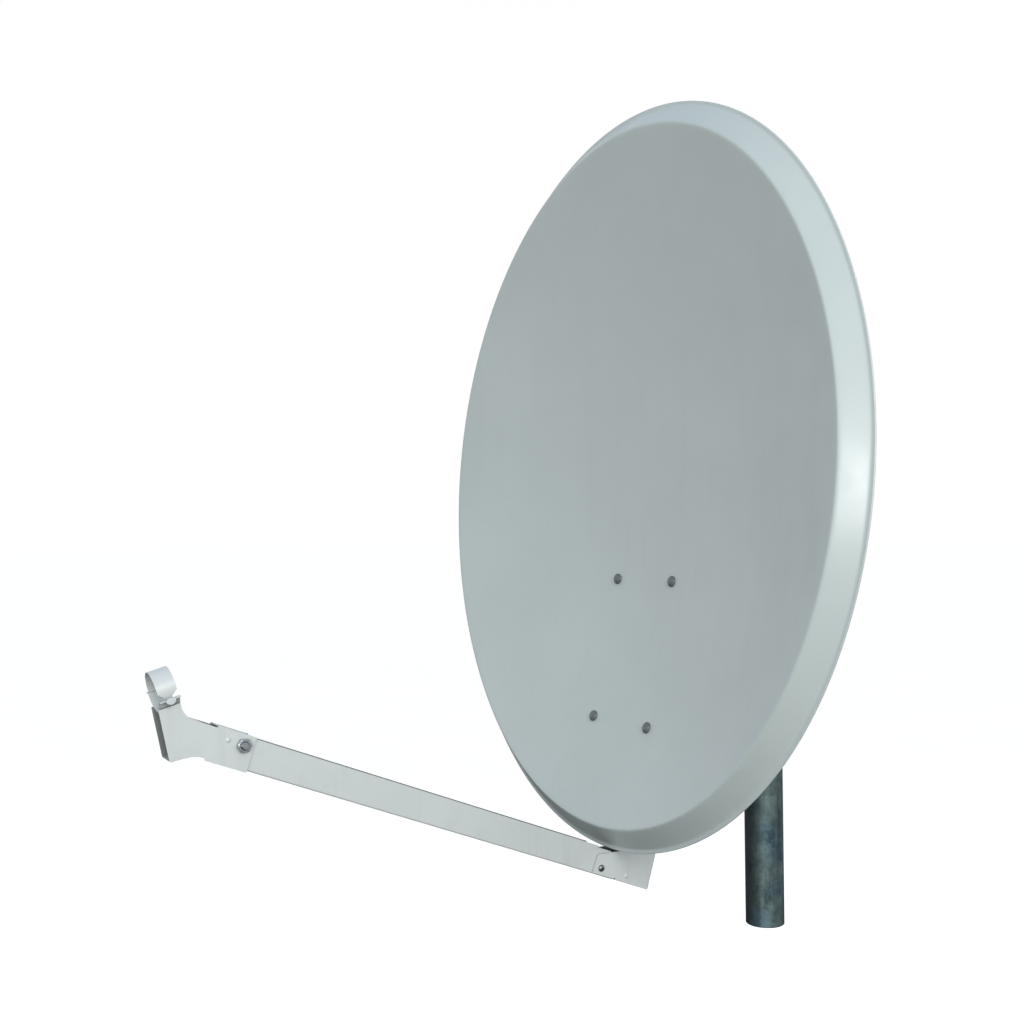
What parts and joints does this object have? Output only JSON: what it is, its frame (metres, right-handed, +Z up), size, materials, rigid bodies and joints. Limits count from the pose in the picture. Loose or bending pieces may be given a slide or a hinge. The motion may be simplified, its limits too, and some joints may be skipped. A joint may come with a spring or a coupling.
{
  "type": "satellite dish",
  "caption": "Offset satellite dish with a folding feed arm and neck collar, on a mast clamp that swivels in azimuth and tilts in elevation.",
  "frame": {"origin": "centre of the mast's lower end", "axes": "+Z up along the mast, -Y the way the dish looks, +X to the right across the dish seen from the front"},
  "size_m": [0.85, 0.8404, 1.047],
  "materials": {
    "dish_coat": "satin grey powder coat",
    "arm_coat": "light grey powder coat",
    "zinc": "bright zinc plate",
    "galvanised": "weathered hot dip galvanising",
    "cap_plastic": "moulded black plastic"
  },
  "bodies": {
    "mast": {"mast_cap": "cap_plastic", "mast_tube": "galvanised"},
    "mast_mount": {"clamp_saddle_lower": "zinc", "clamp_saddle_upper": "zinc", "lock_bolt_left": "zinc", "lock_bolt_right": "zinc", "lock_nut_left": "zinc", "lock_nut_right": "zinc", "lock_washer_left": "zinc", "lock_washer_right": "zinc", "mount_bracket": "arm_coat", "pivot_bolt_left": "zinc", "pivot_bolt_right": "zinc", "pivot_nut_left": "zinc", "pivot_nut_right": "zinc", "pivot_washer_left": "zinc", "pivot_washer_right": "zinc", "u_bolt_lower": "zinc", "u_bolt_nut_lower_left": "zinc", "u_bolt_nut_lower_right": "zinc", "u_bolt_nut_upper_left": "zinc", "u_bolt_nut_upper_right": "zinc", "u_bolt_upper": "zinc"},
    "dish": {"arm_bracket": "arm_coat", "arm_screw": "zinc", "arm_screw_nut": "zinc", "dish_bolt_lower_left": "dish_coat", "dish_bolt_lower_right": "dish_coat", "dish_bolt_upper_left": "dish_coat", "dish_bolt_upper_right": "dish_coat", "dish_nut_lower_left": "zinc", "dish_nut_lower_right": "zinc", "dish_nut_upper_left": "zinc", "dish_nut_upper_right": "zinc", "rear_frame": "arm_coat", "reflector": "dish_coat"},
    "feed_arm": {"feed_arm": "arm_coat", "holder_bolt": "zinc", "holder_left": "arm_coat", "holder_nut": "zinc", "holder_right": "arm_coat", "lnb_saddle": "arm_coat"},
    "clamp_strap": {"clamp_strap": "arm_coat"}
  },
  "joints": [
    {"name": "azimuth", "type": "hinge", "parent": "mast", "child": "mast_mount", "pos_m": [0, 0, 0.401], "axis": [0, 0, 1], "continuous": true},
    {"name": "elevation", "type": "hinge", "parent": "mast_mount", "child": "dish", "pos_m": [0, -0.11, 0.442], "axis": [-1, 0, 0], "range_deg": [-15, 30]},
    {"name": "arm_fold", "type": "hinge", "parent": "dish", "child": "feed_arm", "pos_m": [0, -0.2705, 0.114], "axis": [1, 0, 0], "range_deg": [0, 100]},
    {"name": "strap_open", "type": "hinge", "parent": "feed_arm", "child": "clamp_strap", "pos_m": [-0.024, -0.79034, 0.36365], "axis": [0, -0.9613, -0.2756], "range_deg": [0, 100]}
  ]
}
